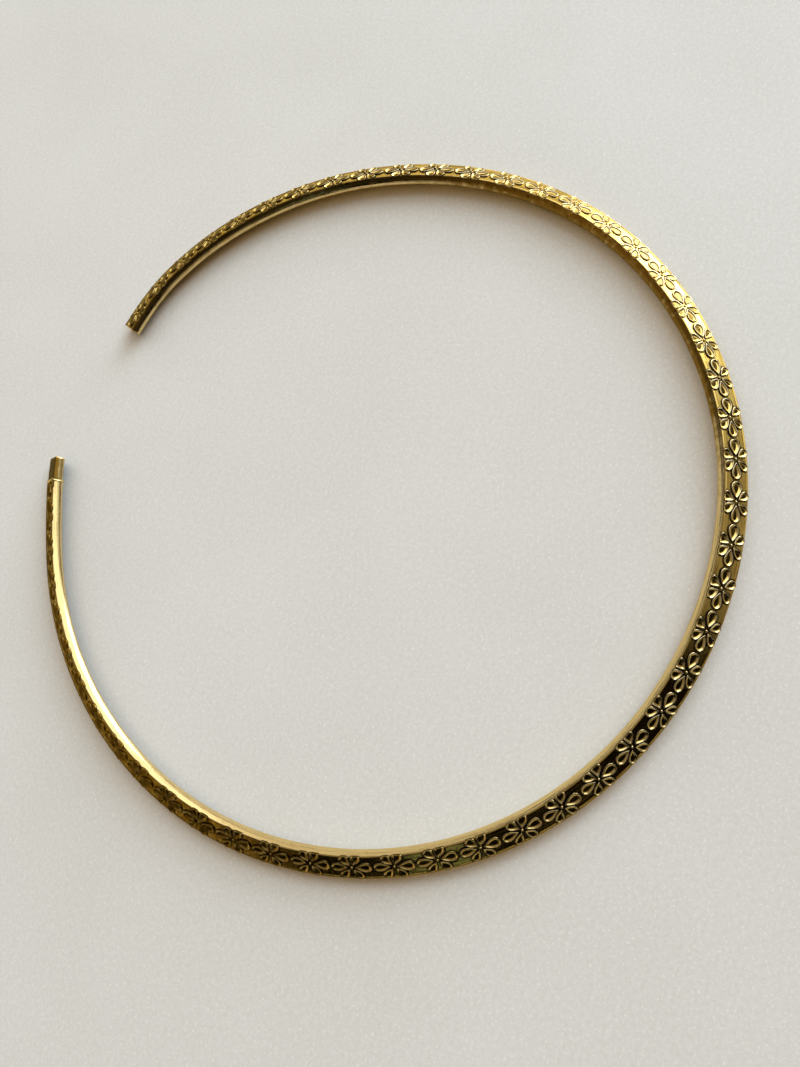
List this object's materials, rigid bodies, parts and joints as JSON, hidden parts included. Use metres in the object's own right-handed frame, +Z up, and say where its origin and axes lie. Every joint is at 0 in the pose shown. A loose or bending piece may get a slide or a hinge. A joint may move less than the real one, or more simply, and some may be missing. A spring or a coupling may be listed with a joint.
{
  "type": "open collar choker",
  "caption": "Open rigid choker of flower-patterned gilt brass bar, bent to a near-circle, with a plain cut end and a short bare stub past a stop ring.",
  "frame": {"origin": "under the middle of the bounding box, on the surface that the choker lies on", "axes": "+Z up from that surface, +Y towards the back opening, -Y towards the front of the neck"},
  "size_m": [0.1306, 0.1286, 0.0041],
  "materials": {
    "gilt_brass": "polished gold-plated brass, rolled flower pattern on one face, smooth flanks and back, a few small tarnish specks"
  },
  "bodies": {
    "root": {"collar": "gilt_brass"}
  },
  "joints": []
}
